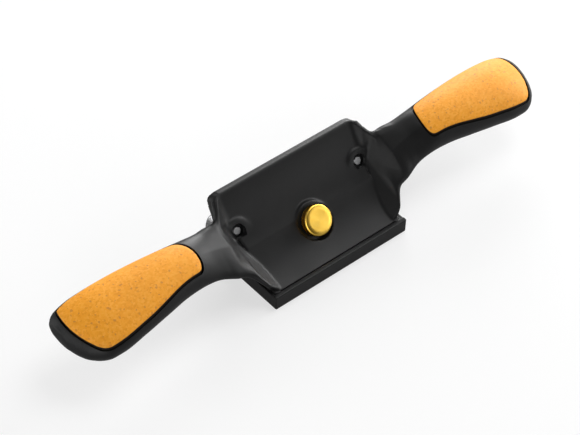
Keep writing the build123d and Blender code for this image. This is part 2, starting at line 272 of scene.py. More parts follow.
def handle_field(x, y, z, lowered=0.0, share=1.0):
    """Distance to the handle, to first order.

    In the oval's own tilted axes v (across) and w (up), s = |v / half|^n + |w / height|^n is 1 on the
    surface. (s^(1/n) - 1) divided by the length of its gradient is close to a distance near the surface.
    Along the neck the rear half of the oval thins towards its edge, to half its height at most.
    """
    sweep, rise, half, crown, belly, tilt, square = handle_section(x)
    tilt = np.radians(tilt)
    dy, dz = y - sweep, z - rise
    v = dy * np.cos(tilt) + dz * np.sin(tilt)
    w = -dy * np.sin(tilt) + dz * np.cos(tilt)
    top = crown - np.minimum(lowered, crown * share)
    thin = 0.5 * np.clip((x - 38.0) / 8.0, 0, 1) * np.clip((76.0 - x) / 18.0, 0, 1)
    thinned = 1 - thin * np.clip(-v / half, 0, 1)
    top, belly = top * thinned, belly * thinned
    height = np.where(w > 0, top, belly)
    n = np.where(w > 0, square, 2.0)
    a = np.abs(v / half) + 1e-9
    b = np.abs(w / height) + 1e-9
    s = a**n + b**n
    g = s ** (1 / n)
    slope = g / s * np.sqrt((a ** (n - 1) / half) ** 2 + (b ** (n - 1) / height) ** 2)
    return (g - 1) / np.maximum(slope, 1e-6)


HANDLE_END = stations[-1, 0]
print("handle runs from", stations[0, 0], "to", HANDLE_END, "mm from the middle")

# %% [markdown]
# ## The whole casting
#
# The field is the same on both sides, so it is worked out on the distance from the middle. From the ground
# up: the sole with its raised rear lip, the wedge under the rear panel, the leaning plate, the flange that
# rises from the lip's corner to the handle, the handle, the web in the corner between handle and plate, and
# the bosses for the three screws. The panel is slightly hollow and meets the plate in a broad fold.

# %% Casting field
flank_normal = np.array([-0.600, -0.280, 0.749])  # flat inner side of the flange, facing the panel
flank_point = np.array([37.0, -26.0, 8.6])
SOLE_HALF_X = 42.5
PANEL_FOOT_Y, PANEL_FOOT_Z = -27.2, 7.6
PANEL_COS, PANEL_SIN = 0.8758, 0.4826  # of the rear panel's slope
PANEL_HOLLOW = 1.5
WEB_END_X = 57.0
WEB_SLANT = 43.0
KNOB_BOSS_RADIUS = 9.9
PLATE_DEPTH = 5.4


def casting_field(x, y, z):
    """Distance to the casting, its pockets and holes not yet cut."""
    x = np.abs(x)
    slant, out = bed_place(y, z)
    # sole, thinner in front of the mouth, and the lip along its rear edge
    sole = rounded_box(x, y, z - 2.5, (SOLE_HALF_X, 29.6, 2.5), 0.4)
    rear = rounded_box(x, y + 14.8, z - 3.7, (SOLE_HALF_X, 14.8, 3.7), 0.4)
    lip = rounded_box(x, y + 28.4, z - 4.0, (SOLE_HALF_X, 1.2, 4.0), 0.5)
    body = np.minimum(np.minimum(sole, rear), lip)
    # wedge under the panel: below the panel, which is hollow along its slope, and behind the bed
    panel = (z - PANEL_FOOT_Z) * PANEL_COS - (y - PANEL_FOOT_Y) * PANEL_SIN
    rise = (y - PANEL_FOOT_Y) * PANEL_COS + (z - PANEL_FOOT_Z) * PANEL_SIN
    panel = panel + PANEL_HOLLOW * np.clip(1 - ((rise - 13.0) / 13.0) ** 2, 0, 1)
    wedge = np.maximum(np.maximum(panel, out), np.maximum(x - 40.0, -z))
    wedge = np.maximum(wedge, -(y + 28.0))
    plate = rounded_box(x, slant - 25.8, out + PLATE_DEPTH / 2, (46.0, 20.0, PLATE_DEPTH / 2), 1.2)
    corner = np.hypot(np.clip(x - 41.0, 0, None), np.clip(slant - 40.8, 0, None)) - 5.0
    plate = soft_common(plate, np.where((x > 41) & (slant > 40.8), corner, -5.0), 1.0)
    groove = np.maximum(np.maximum(np.abs(y + 26.85) - 0.35, 7.1 - z), x - 37.6)
    wedge = np.maximum(wedge, -groove)
    block = soft_join(wedge, plate, 9.0)
    body = np.maximum(soft_join(body, block, 0.8), -groove)
    # handle with its flange: the wide ovals at its root are cut flat by the flange's inner side
    handle = handle_field(x, y, z)
    flank = (x - flank_point[0]) * flank_normal[0] + (y - flank_point[1]) * flank_normal[1]
    flank = flank + (z - flank_point[2]) * flank_normal[2]
    fade = np.clip((x - 43.0) / 9.0, 0, 1) ** 2 * 9.0
    handle = soft_common(handle, flank - fade, 1.6 + 9.0 * np.clip((z - 13.0) / 12.0, 0, 1))
    handle = np.maximum(handle, 30.0 - x)
    handle = np.where(x > HANDLE_END, np.maximum(handle, x - HANDLE_END), handle)
    # web in the corner between the plate's end and the handle: behind the plate, it grows thicker downwards,
    # and its front face runs back from the plate's end
    hollow = 11.0 - np.hypot(x - WEB_END_X, slant - 44.6)
    behind = (-out - PLATE_DEPTH - 0.62 * (WEB_SLANT - slant)) * 0.85
    before = (out + 4.6 + 0.9 * (x - 46.0)) * 0.74
    web = np.maximum(hollow, np.maximum(behind, -out - 11.5))
    web = np.maximum(web, np.maximum(x - WEB_END_X, 27.0 - slant))
    inner = (44.0 - x + 0.9 * (-out - PLATE_DEPTH)) * 0.74
    web = np.maximum(web, np.maximum(np.maximum(slant - WEB_SLANT, inner), before))
    handle = soft_join(handle, web, 4.5)
    # the join is broad only behind the plate and high on it
    broad = 5.2 * np.clip((-out - 4.0) / 4.0, 0, 1) * np.clip((slant - 24.0) / 8.0, 0, 1)
    body = soft_join(body, handle, 0.8 + broad)
    # nothing stands in front of the bed except the sole
    front = np.maximum(np.maximum(-out, 4.9 - z), x - 50.0)
    body = np.maximum(body, -np.maximum(front, np.abs(slant - 26.0) - 24.0))
    # bosses round the clamp screws and the knob's boss
    px, ps = x - SCREW_X, slant - SCREW_SLANT
    boss = soft_common(np.hypot(px, ps) - 6.4, np.maximum(BOSS_BACK - out, out), 1.4)
    body = soft_join(body, boss, 1.6)
    along = (y - knob_face[1]) * knob_axis[1] + (z - knob_face[2]) * knob_axis[2] + KNOB_STANDS
    squared = x**2 + (y - knob_face[1]) ** 2 + (z - knob_face[2]) ** 2
    off = np.sqrt(np.clip(squared - (along - KNOB_STANDS) ** 2, 0, None))
    knob_boss = soft_common(off - KNOB_BOSS_RADIUS, np.maximum(along, -along - 9.0), 1.2)
    body = soft_join(body, knob_boss, 1.4)
    return np.maximum(body, -np.maximum(off - KNOB_BOSS_RADIUS, np.maximum(-along, along - 12.0)))


MOUTH_HALF_X = 36.5
RAMP_START = 7.1  # where the mouth's front wall meets the ground; it leans forward by 45 degrees


def mouth_field(x, y, z):
    """Distance to the mouth's slot and the room for the blade above it."""
    _, out = bed_place(y, z)
    ramp = (y - RAMP_START - z) * 0.7071
    return np.maximum(np.maximum(-out, ramp), np.abs(x) - MOUTH_HALF_X)


print("field at the middle of the sole:", float(casting_field(np.array(0.0), np.array(-14.0), np.array(3.0))))

# %% [markdown]
# ## From a field to a mesh
#
# The field is measured on a lattice of points. Every little cell whose corners lie on both sides of the
# surface gets one point, at the mean of the places where its edges cross the surface, and every lattice edge
# that crosses the surface gets a face between the four cells round it. Then each point is slid along the
# field's gradient until it lies on the surface. The lattice is finer where the forms are small.


# %% Surface net
def surface_net(field, xs, ys, zs):
    """Points and four-cornered faces of the surface where field is 0, on the lattice xs, ys, zs."""
    value = field(xs[:, None, None], ys[None, :, None], zs[None, None, :])
    value = np.broadcast_to(value, (len(xs), len(ys), len(zs))).astype(np.float64)
    lines = (xs, ys, zs)
    cells = tuple(n - 1 for n in value.shape)
    total = np.zeros(cells + (3,))
    count = np.zeros(cells)
    crossings = []
    for axis in range(3):
        low = np.take(value, range(value.shape[axis] - 1), axis)
        high = np.take(value, range(1, value.shape[axis]), axis)
        crosses = (low < 0) != (high < 0)
        where = np.argwhere(crosses)
        share = low[crosses] / (low[crosses] - high[crosses])
        point = np.stack([lines[k][where[:, k]] for k in range(3)], -1)
        step = lines[axis][where[:, axis] + 1] - lines[axis][where[:, axis]]
        point[:, axis] += share * step
        b, c = (axis + 1) % 3, (axis + 2) % 3
        around = []
        for db, dc in ((-1, -1), (0, -1), (0, 0), (-1, 0)):
            cell = where.copy()
            cell[:, b] += db
            cell[:, c] += dc
            fits = np.all((cell >= 0) & (cell < np.array(cells)), axis=1)
            index = tuple(cell[fits].T)
            np.add.at(total, index, point[fits])
            np.add.at(count, index, 1)
            around.append((cell, fits))
        whole = np.logical_and.reduce([fits for _, fits in around])
        quads = np.stack([cell[whole] for cell, _ in around], 1)
        falls = (low[crosses] < 0)[whole]
        quads = np.where(falls[:, None, None], quads, quads[:, ::-1])
        crossings.append(quads)
    used = count > 0
    number = np.full(cells, -1)
    number[used] = np.arange(used.sum())
    points = total[used] / count[used][:, None]
    quads = np.concatenate(crossings)
    faces = number[quads[..., 0], quads[..., 1], quads[..., 2]]
    return points, faces


def slide_onto(field, points, rounds=4, reach=0.25):
    """Moves points along the field's gradient until the field is 0 there, never more than reach a round."""
    h = 0.02
    for _ in range(rounds):
        value = field(*points.T)
        rises = [field(*(points + h * e).T) - field(*(points - h * e).T) for e in np.eye(3)]
        slope = np.stack(rises, -1) / (2 * h)
        size = np.maximum((slope**2).sum(-1), 0.15)
        move = -(value / size)[:, None] * slope
        length = np.linalg.norm(move, axis=1, keepdims=True) + 1e-12
        points = points + move * np.minimum(1, reach / length)
    return points


def even_steps(*runs):
    """Lattice lines from runs of (start, end, longest step)."""
    lines = [np.linspace(a, b, max(2, math.ceil((b - a) / step) + 1)) for a, b, step in runs]
    return np.unique(np.concatenate(lines).round(4))


def whole_casting(x, y, z):
    """Distance to the casting with its mouth cut through."""
    return np.maximum(casting_field(x, y, z), -mouth_field(x, y, z))


half_lines = even_steps((0, 12, 0.7), (12, 33, 1.4), (33, 66, 0.7), (66, 132, 1.4), (132, 149, 0.8))
lattice_x = np.unique(np.concatenate([-half_lines, half_lines]).round(4))
lattice_y = even_steps((-31, -28, 0.75), (-28, -26, 0.2), (-26, 30.5, 0.75))
lattice_z = even_steps((-1.3, 6.6, 0.72), (6.6, 8.4, 0.3), (8.4, 45.0, 0.72))
net_points, net_faces = surface_net(whole_casting, lattice_x, lattice_y, lattice_z)
net_points = slide_onto(whole_casting, net_points)
net_points[:, 2] = np.maximum(net_points[:, 2], 0.0)
casting = mesh_object("casting", net_points, net_faces, 40.0)
print("casting:", len(net_points), "points", len(net_faces), "faces")
print("casting box", net_points.min(0), net_points.max(0))

# %% [markdown]
# ## The outline of the cork
#
# Seen from above, the cork is a long pad: its sides run a little inside the handle's edges, its inner end is
# round, and its outer end follows an arc. The outline is worked out once, as points at even steps all round,
# and it is used twice: for the cork, and a little larger for the pocket it lies in.


# %% Pad outline
PAD_POINTS = 360
PAD_MIDDLE = np.array([108.0, -4.5])
PAD_INNER = 78.0  # where the straight sides end and the round inner end begins


def pad_outline(grow, count=PAD_POINTS):
    """Points (reach, sweep) round the pad, grown outwards by `grow`, evenly spaced."""
    reach = np.linspace(PAD_INNER, 134.0, 60)
    sweep, _, half, _, _, tilt, _ = handle_section(reach)
    level = half * np.cos(np.radians(tilt))
    inset = 1.6 + 0.9 * np.clip((106.0 - reach) / 24.0, 0, 1)
    rear = np.stack([reach, sweep - level + inset - grow], -1)
    front = np.stack([reach, sweep + level - 1.8 + grow], -1)
    inner_mid = (rear[0, 1] + front[0, 1]) / 2
    inner_half = (front[0, 1] - rear[0, 1]) / 2
    turn = np.linspace(np.pi / 2, 1.5 * np.pi, 40)[1:-1]
    inner_depth = PAD_INNER - 72.2 + grow
    shape = np.abs(np.cos(turn)) ** 0.8
    inner = np.stack([PAD_INNER - inner_depth * shape, inner_mid + inner_half * np.sin(turn)], -1)
    radius = 30.4 + grow
    low = rear[-1, 1] + 2.0
    high = front[-1, 1] - 0.8
    outer_y = np.linspace(low, high, 30)
    outer = np.stack([112.0 + np.sqrt(radius**2 - outer_y**2), outer_y], -1)
    loop = np.concatenate([rear, outer, front[::-1], inner])
    # the inner end leans a little
    loop[:, 0] += 0.2 * (loop[:, 1] - inner_mid + 1.0) * np.clip((90.0 - loop[:, 0]) / 14.0, 0, 1)
    loop = np.concatenate([loop, loop[:1]])
    # corners eased by a running mean along an evenly stepped loop
    length = np.concatenate([[0], np.cumsum(np.linalg.norm(np.diff(loop, axis=0), axis=1))])
    even = np.linspace(0, length[-1], count, endpoint=False)
    loop = np.stack([np.interp(even, length, loop[:, k]) for k in range(2)], -1)
    weights = np.hanning(15)
    weights /= weights.sum()
    wrap = np.concatenate([loop[-7:], loop, loop[:7]])
    return np.stack([np.convolve(wrap[:, k], weights, "valid") for k in range(2)], -1)


def top_height(x, y, lowered=0.0, share=0.45):
    """Height of the handle's upper surface over (x, y), found by halving between its middle and 60 mm."""
    sweep, rise, half, _, _, tilt, _ = handle_section(x)
    low = rise + (y - sweep) * np.tan(np.radians(tilt))
    high = np.full_like(low, 60.0)
    for _ in range(40):
        middle = (low + high) / 2
        inside = handle_field(x, y, middle, lowered, share) < 0
        low, high = np.where(inside, middle, low), np.where(inside, high, middle)
    return (low + high) / 2


pad = pad_outline(0.0)
print("cork outline", pad.min(0).round(1), pad.max(0).round(1))

# %% [markdown]
# ## Pockets, holes and recesses
#
# The edges of a pocket and of a drilled hole are crisp, crisper than the lattice can draw them. So they are
# cut last, with separate cutting forms and Blender's Boolean modifier. The pocket's cutter is a stack of
# outlines: a floor, an upright wall, and a small flare at the top that leaves a narrow chamfer at the rim.


# %% Cutting forms
POCKET_DEPTH = 4.1
POCKET_GAP = 0.85  # groove left round the cork


def pocket_cutter(side):
    """Stacked outlines from the pocket's floor to above the handle, closed at both ends."""
    levels = [(POCKET_GAP, None), (POCKET_GAP, 0.45), (1.2, -0.02), (2.6, -1.6)]
    rings = []
    for grow, depth in levels:
        loop = pad_outline(grow)
        if depth is None:
            z = top_height(loop[:, 0], loop[:, 1], POCKET_DEPTH)
        else:
            z = top_height(*pad_outline(min(grow, 0.9)).T) - depth
        rings.append(np.column_stack([loop, z]))
    # the floor and the lid follow the handle from the outline in to the middle
    loop = pad_outline(POCKET_GAP)
    floor = []
    for share in (0.02, 0.15, 0.35, 0.55, 0.75, 0.9):
        inner = PAD_MIDDLE + (loop - PAD_MIDDLE) * share
        floor.append(np.column_stack([inner, top_height(inner[:, 0], inner[:, 1], POCKET_DEPTH)]))
    loop = pad_outline(2.6)
    lid = []
    for share in (0.9, 0.7, 0.4, 0.1, 0.02):
        inner = PAD_MIDDLE + (loop - PAD_MIDDLE) * share
        near = np.clip((inner - PAD_MIDDLE) * 0.93 + PAD_MIDDLE, [71, -30], [141, 30])
        lid.append(np.column_stack([inner, top_height(near[:, 0], near[:, 1]) + 3.0]))
    sheet = np.array(floor + rings + lid)
    if side < 0:
        sheet = sheet[:, ::-1] * np.array([-1.0, 1.0, 1.0])
    return sheet


def straight_cutter(origin, axis, across, profile, turns=96):
    """A turned cutting form along an axis."""
    up = np.cross(axis, across)
    return profile_rings(profile, turns, origin, across, up, axis)


cutters = [ring_solid(f"cut_pocket_{n}", pocket_cutter(s)) for n, s in (("left", -1), ("right", 1))]
for side, name in ((-1, "left"), (1, "right")):
    back = on_bed(side * SCREW_X, SCREW_SLANT, BOSS_BACK)
    steps = [(-2.0, 4.2), (-0.02, 3.75), (0.35, 3.4), (1.6, 3.4), (1.7, 2.55), (12.0, 2.55)]
    cutters.append(ring_solid(f"cut_screw_{name}", straight_cutter(back, bed_out, right, steps)))
knob_seat = knob_face - knob_axis * KNOB_STANDS
steps = [(-3.0, 4.2), (-0.02, 3.4), (0.3, 3.05), (16.0, 3.05)]
cutters.append(ring_solid("cut_knob", straight_cutter(knob_seat, -knob_axis, right, steps)))


def cut_with(obj, tools):
    """Cuts the tools out of obj one after another, keeps the result and removes the tools."""
    for tool in tools:
        cut = obj.modifiers.new("cut", "BOOLEAN")
        cut.operation = "DIFFERENCE"
        cut.solver = "EXACT"
        cut.object = tool
    graph = bpy.context.evaluated_depsgraph_get()
    mesh = bpy.data.meshes.new_from_object(obj.evaluated_get(graph))
    obj.modifiers.clear()
    obj.data = mesh
    for tool in tools:
        bpy.data.objects.remove(tool)


cut_with(casting, cutters)
casting.data.set_sharp_from_angle(angle=math.radians(38))
print("casting after cutting:", len(casting.data.polygons), "faces")
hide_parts("body_casting")
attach(casting, "body")

# %% [markdown]
# ## The cork pads
#
# Each pad fills its pocket and carries the handle's rounded top across it, so its upper sheet is the
# handle's own surface. Rings of points shrink from the outline to the middle. At the rim the cork is eased
# over a little, as sanding leaves it, and its wall goes straight down into the pocket. The material knows the
# wall from the top by the row of the ring, and paints the wall near black: painted shade, for the groove's
# shadow.


# %% Cork
CORK_DEPTH = 3.9


def cork_sheet(side):
    """Rings from the middle of the underside out, up the wall, over the eased rim and in across the top."""
    loop = pad_outline(0.0)
    rings = []
    for share in (0.02, 0.3, 0.6, 0.85, 1.0):
        flat = PAD_MIDDLE + (loop - PAD_MIDDLE) * share
        rings.append(np.column_stack([flat, top_height(flat[:, 0], flat[:, 1], CORK_DEPTH) + 0.02]))
    edge_top = top_height(loop[:, 0], loop[:, 1])
    rings.append(np.column_stack([loop, edge_top - 0.9]))
    rings.append(np.column_stack([loop, edge_top - 0.45]))
    shares = [0.9975, 0.992, 0.982, 0.965, 0.94, 0.9, 0.85, 0.79, 0.72]
    shares += [0.64, 0.55, 0.45, 0.35, 0.25, 0.15, 0.07, 0.02]
    drops = [0.22, 0.1, 0.03] + [0.0] * 14
    for share, drop in zip(shares, drops):
        flat = PAD_MIDDLE + (loop - PAD_MIDDLE) * share
        rings.append(np.column_stack([flat, top_height(flat[:, 0], flat[:, 1]) - drop]))
    sheet = np.array(rings)
    if side < 0:
        sheet = sheet[:, ::-1] * np.array([-1.0, 1.0, 1.0])
    return sheet


CORK_ROWS = len(cork_sheet(1))
cork_pads = []
for side, name in ((-1, "left"), (1, "right")):
    cork = ring_solid(f"cork_{name}", cork_sheet(side), 50.0)
    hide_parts(f"cork_grip_{name}")
    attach(cork, "body")
    cork_pads.append(cork)
print("cork faces", len(cork_pads[0].data.polygons))

# %% [markdown]
# ## The brass knob
#
# A short turned knob: a flat face with a faint lathe finish and a polished chamfer, and fine straight
# knurling round its side. The knurl is a cosine of the angle added to the radius, only along the side.


# %% Knob
def straight_knurl(teeth, depth, start, end):
    """Swell for a straight knurl: `teeth` ridges, `depth` deep, from `start` to `end` along the axis."""

    def swell(angle, along, radius):
        inside = np.clip((along - start) / 0.25, 0, 1) * np.clip((end - along) / 0.25, 0, 1)
        ridge = 1 - np.abs(np.cos(angle * teeth / 2)) ** 1.5
        return -depth * ridge * inside * (radius > 5)

    return swell


knob_profile = [
    (0.0, 3.05), (0.0, 6.9), (0.12, 7.2), (0.5, 7.62), (0.62, 7.9), (0.8, 7.95), (1.6, 7.95), (2.4, 7.95),
    (3.2, 7.95), (3.75, 7.95), (3.92, 7.88), (4.12, 7.68), (4.3, 7.42),
    (KNOB_HEIGHT, 7.2), (KNOB_HEIGHT, 5.2), (KNOB_HEIGHT, 2.6), (KNOB_HEIGHT, 0.3),
]
KNOB_TURNS = 432
knob_base = knob_face - knob_axis * KNOB_HEIGHT
knob_up = np.cross(knob_axis, right)
knob_knurl = straight_knurl(72, 0.32, 0.5, 3.95)
knob_rings = profile_rings(knob_profile, KNOB_TURNS, knob_base, right, knob_up, knob_axis, knob_knurl)
knob = ring_solid("brass_knob", knob_rings, 32.0)
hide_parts("bow_knob")
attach(knob, "bow_head")
print("knob faces", len(knob.data.polygons))

# %% [markdown]
# ## The clamp screws
#
# Two thumb screws pass through the bar and into the plate. Their heads are knurled in diamonds, which is two
# slanted sets of grooves that cross. Only their ends show from behind, each in its own recess, with the
# last turns of the thread round it.


# %% Thumb screw heads and ends
def diamond_knurl(teeth, depth, start, end, lead):
    """Swell for a diamond knurl: the shallower of two slanted sets of grooves at each point."""

    def swell(angle, along, radius):
        inside = np.clip((along - start) / 0.2, 0, 1) * np.clip((end - along) / 0.2, 0, 1)
        one = np.abs(np.sin((angle * teeth + along * lead) / 2))
        two = np.abs(np.sin((angle * teeth - along * lead) / 2))
        return -depth * (1 - np.minimum(one, two)) * inside * (radius > 5.5)

    return swell


def thread_swell(pitch, depth, start, end):
    """Swell for a screw thread: a ridge that climbs one pitch a turn."""

    def swell(angle, along, radius):
        inside = np.clip((along - start) / 0.3, 0, 1) * np.clip((end - along) / 0.3, 0, 1)
        phase = (along / pitch - angle / (2 * np.pi)) % 1.0
        return -depth * np.abs(2 * phase - 1) * inside

    return swell


head_start = 5.8  # the head's underside, in front of the bed
head_rows = [(0.0, 2.56), (0.0, 5.7), (0.2, 6.0), (0.4, 6.26)]
head_rows += [(float(v), 6.3) for v in np.linspace(0.5, 5.3, 33)]
head_rows += [(5.4, 6.26), (5.6, 6.0), (5.8, 5.7), (5.8, 4.0), (5.68, 3.8), (5.68, 0.3)]
stud_rows = [(-7.0, 0.2), (-7.0, 1.9), (-6.5, 2.42)]
stud_rows += [(float(v), 2.5) for v in np.linspace(-6.4, 4.6, 90)]
stud_rows += [(4.7, 2.5), (4.76, 4.2), (4.95, 4.4), (5.5, 4.4), (5.68, 4.2)]
stud_rows += [(5.72, 2.5), (9.6, 2.5), (9.6, 0.2)]
head_knurl = diamond_knurl(36, 0.36, 0.4, 5.4, 5.2)
stud_thread = thread_swell(0.8, 0.34, -6.6, 4.4)
for side, name in ((-1, "left"), (1, "right")):
    origin = on_bed(side * SCREW_X, SCREW_SLANT)
    up = np.cross(bed_out, right)
    rings = profile_rings(head_rows, 320, origin + bed_out * head_start, right, up, bed_out, head_knurl)
    head = ring_solid(f"thumb_head_{name}", rings, 30.0)
    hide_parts(f"clamp_head_{name}")
    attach(head, f"{name}_head")
    rings = profile_rings(stud_rows, 64, origin, right, up, bed_out, stud_thread)
    stud = ring_solid(f"thumb_stud_{name}", rings, 40.0)
    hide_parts(f"clamp_stud_{name}")
    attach(stud, f"{name}_screw")
print("thumb screw head faces", len(head.data.polygons))

# %% [markdown]
# ## Finishes
#
# Materials are built from nodes on Object coordinates, which are metres in the tool's own frame, so a grain
# given in millimetres stays that size. A few small helpers keep the node trees short.


# %% Node helpers
def new_material(name, preview):
    """An empty node material with its shader and output, and the place's Object coordinates."""
    material = bpy.data.materials.new(name)
    material.use_nodes = True
    material.diffuse_color = (*preview, 1.0)
    tree = material.node_tree
    shader = tree.nodes["Principled BSDF"]
    coords = tree.nodes.new("ShaderNodeTexCoord")
    return material, tree, shader, coords.outputs["Object"]


def noise(tree, place, size_mm, detail=3.0, rough=0.55):
    """A noise whose blobs are about size_mm across."""
    node = tree.nodes.new("ShaderNodeTexNoise")
    node.inputs["Scale"].default_value = 1.0 / (size_mm * MM)
    node.inputs["Detail"].default_value = detail
    node.inputs["Roughness"].default_value = rough
    tree.links.new(place, node.inputs["Vector"])
    return node


def cells(tree, place, size_mm):
    """Voronoi cells about size_mm across."""
    node = tree.nodes.new("ShaderNodeTexVoronoi")
    node.inputs["Scale"].default_value = 1.0 / (size_mm * MM)
    tree.links.new(place, node.inputs["Vector"])
    return node


def ramp(tree, value, stops):
    """A colour ramp from (position, colour) stops."""
    node = tree.nodes.new("ShaderNodeValToRGB")
    ends = node.color_ramp.elements
    while len(ends) < len(stops):
        ends.new(0.5)
    for end, (position, colour) in zip(ends, stops):
        end.position = position
        end.color = (*colour, 1.0)
    tree.links.new(value, node.inputs["Fac"])
    return node.outputs["Color"]


def blend_colours(tree, share, first, second, mode="MIX"):
    """Mixes two colours by a share."""
    node = tree.nodes.new("ShaderNodeMix")
    node.data_type = "RGBA"
    node.blend_type = mode
    wanted = ((node.inputs["Factor"], share), (node.inputs[6], first), (node.inputs[7], second))
    for socket, value in wanted:
        if isinstance(value, bpy.types.NodeSocket):
            tree.links.new(value, socket)
        elif isinstance(value, (int, float)):
            socket.default_value = value
        else:
            socket.default_value = (*value, 1.0)
    return node.outputs[2]


def bump(tree, height, shader, depth_mm, strength):
    """Raises the surface by height times depth_mm, for shading only."""
    node = tree.nodes.new("ShaderNodeBump")
    node.inputs["Strength"].default_value = strength
    node.inputs["Distance"].default_value = depth_mm * MM
    tree.links.new(height, node.inputs["Height"])
    tree.links.new(node.outputs["Normal"], shader.inputs["Normal"])


def ring_uv(obj, rows, columns):
    """A UV map for a ring solid: across = the angle, up = the row. Points are numbered row by row."""
    layer = obj.data.uv_layers.new(name="turned")
    index = np.empty(len(obj.data.loops), np.int32)
    obj.data.loops.foreach_get("vertex_index", index)
    row, column = np.divmod(index, columns)
    starts = np.empty(len(obj.data.polygons), np.int32)
    obj.data.polygons.foreach_get("loop_start", starts)
    u = column / columns
    corner = u.reshape(-1, 3)
    wrapped = (corner.max(1) - corner.min(1)) > 0.5
    corner = np.where(wrapped[:, None] & (corner < 0.5), corner + 1, corner)
    cap = (row >= rows).reshape(-1, 3)
    rest = np.where(cap, 0, corner).sum(1) / np.maximum((~cap).sum(1), 1)
    corner = np.where(cap, rest[:, None], corner)
    uv = np.stack([corner.ravel(), np.minimum(row, rows) / rows], -1).astype(np.float32)
    layer.data.foreach_set("uv", uv.ravel())


def wear_it(obj, material):
    """Gives an object one material."""
    obj.data.materials.clear()
    obj.data.materials.append(material)


# %% [markdown]
# ## Satin black on iron
#
# The coat is baked on over a sand casting. It is even and dark with a soft sheen. Close to, the sand's grain
# comes through as a very fine orange-peel, and the sheen wanders a little from place to place.

# %% Satin black
satin, tree, shader, place = new_material("satin_black", (0.05, 0.05, 0.052))
grain = noise(tree, place, 0.55, 4.0, 0.6)
drift = noise(tree, place, 14.0, 2.0, 0.5)
shade = ramp(tree, drift.outputs["Fac"], [(0.3, (0.0058, 0.0058, 0.0060)), (0.7, (0.0072, 0.0072, 0.0074))])
tree.links.new(shade, shader.inputs["Base Color"])
sheen = ramp(tree, drift.outputs["Fac"], [(0.3, (0.42, 0.42, 0.42)), (0.7, (0.49, 0.49, 0.49))])
tree.links.new(sheen, shader.inputs["Roughness"])
shader.inputs["Specular IOR Level"].default_value = 0.3
bump(tree, grain.outputs["Fac"], shader, 0.05, 0.5)
wear_it(casting, satin)

# %% [markdown]
# ## Cork
#
# The pads are pressed from ground cork: small grains of warm tan in slightly different tones, with darker
# flecks of bark here and there and tiny pits between the grains.

# %% Cork finish
cork_finish, tree, shader, place = new_material("pressed_cork", (0.80, 0.50, 0.22))
wander = noise(tree, place, 1.3, 3.0)
shifted = tree.nodes.new("ShaderNodeVectorMath")
shifted.operation = "MULTIPLY_ADD"
tree.links.new(wander.outputs["Color"], shifted.inputs[0])
shifted.inputs[1].default_value = (0.0006, 0.0006, 0.0006)
tree.links.new(place, shifted.inputs[2])
grains = cells(tree, shifted.outputs["Vector"], 0.9)
tone = tree.nodes.new("ShaderNodeSeparateColor")
tree.links.new(grains.outputs["Color"], tone.inputs["Color"])
grain_colour = ramp(tree, tone.outputs["Red"], [
    (0.0, (0.84, 0.31, 0.012)), (0.25, (0.91, 0.355, 0.018)),
    (0.6, (0.94, 0.375, 0.024)), (1.0, (0.97, 0.42, 0.045)),
])
fleck = ramp(tree, tone.outputs["Green"], [(0.955, (0.0, 0.0, 0.0)), (0.975, (1.0, 1.0, 1.0))])
with_flecks = blend_colours(tree, fleck, grain_colour, (0.70, 0.26, 0.035))
tiny = cells(tree, place, 1.7)
tiny_tone = tree.nodes.new("ShaderNodeSeparateColor")
tree.links.new(tiny.outputs["Color"], tiny_tone.inputs["Color"])
near = ramp(tree, tiny.outputs["Distance"], [(0.10, (1.0, 1.0, 1.0)), (0.17, (0.0, 0.0, 0.0))])
chosen = ramp(tree, tiny_tone.outputs["Blue"], [(0.80, (0.0, 0.0, 0.0)), (0.84, (1.0, 1.0, 1.0))])
dots = blend_colours(tree, 1.0, near, chosen, "MULTIPLY")
with_dots = blend_colours(tree, dots, with_flecks, (0.58, 0.20, 0.03))
patch = noise(tree, place, 22.0, 2.0)
patch_tone = ramp(tree, patch.outputs["Fac"], [(0.35, (0.94, 0.93, 0.90)), (0.65, (1.0, 1.0, 1.0))])
cork_colour = blend_colours(tree, 1.0, with_dots, patch_tone, "MULTIPLY")
ring_map = tree.nodes.new("ShaderNodeUVMap")
ring_map.uv_map = "turned"
row_of = tree.nodes.new("ShaderNodeSeparateXYZ")
tree.links.new(ring_map.outputs["UV"], row_of.inputs["Vector"])
# Painted shade: the rows below the rim, the cork's wall and underside, are painted near black for the shadow
# down in the groove.
wall = ramp(tree, row_of.outputs["Y"], [(0.262, (1.0, 1.0, 1.0)), (0.288, (0.0, 0.0, 0.0))])
cork_with_painted_groove_shade = blend_colours(tree, wall, cork_colour, (0.012, 0.010, 0.008))
tree.links.new(cork_with_painted_groove_shade, shader.inputs["Base Color"])
shader.inputs["Roughness"].default_value = 0.62
shader.inputs["Specular IOR Level"].default_value = 0.32
fine = noise(tree, place, 0.5, 3.0, 0.65)
bump(tree, fine.outputs["Fac"], shader, 0.10, 0.45)
for cork in cork_pads:
    ring_uv(cork, CORK_ROWS, PAD_POINTS)
    wear_it(cork, cork_finish)

# %% [markdown]
# ## Brass and steel
#
# The knob was faced on a lathe, so its face carries rings too fine to see one by one; they stretch the
# highlights into fans. A sheet of points has natural directions, round and along, and a UV map records them,
# so the shader's stretch can follow the rings.


# %% Metal finishes
ring_uv(knob, len(knob_profile), KNOB_TURNS)
brass, tree, shader, place = new_material("turned_brass", (0.83, 0.62, 0.27))
rings_drift = noise(tree, place, 3.0, 2.0)
brass_colour = ramp(tree, rings_drift.outputs["Fac"], [(0.3, (0.98, 0.60, 0.085)), (0.7, (1.0, 0.65, 0.115))])
tree.links.new(brass_colour, shader.inputs["Base Color"])
shader.inputs["Metallic"].default_value = 1.0
shader.inputs["Roughness"].default_value = 0.34
shader.inputs["Anisotropic"].default_value = 0.7
along = tree.nodes.new("ShaderNodeTangent")
along.direction_type = "UV_MAP"
along.uv_map = "turned"
tree.links.new(along.outputs["Tangent"], shader.inputs["Tangent"])
fine = noise(tree, place, 0.12, 2.0)
bump(tree, fine.outputs["Fac"], shader, 0.01, 0.3)
wear_it(knob, brass)


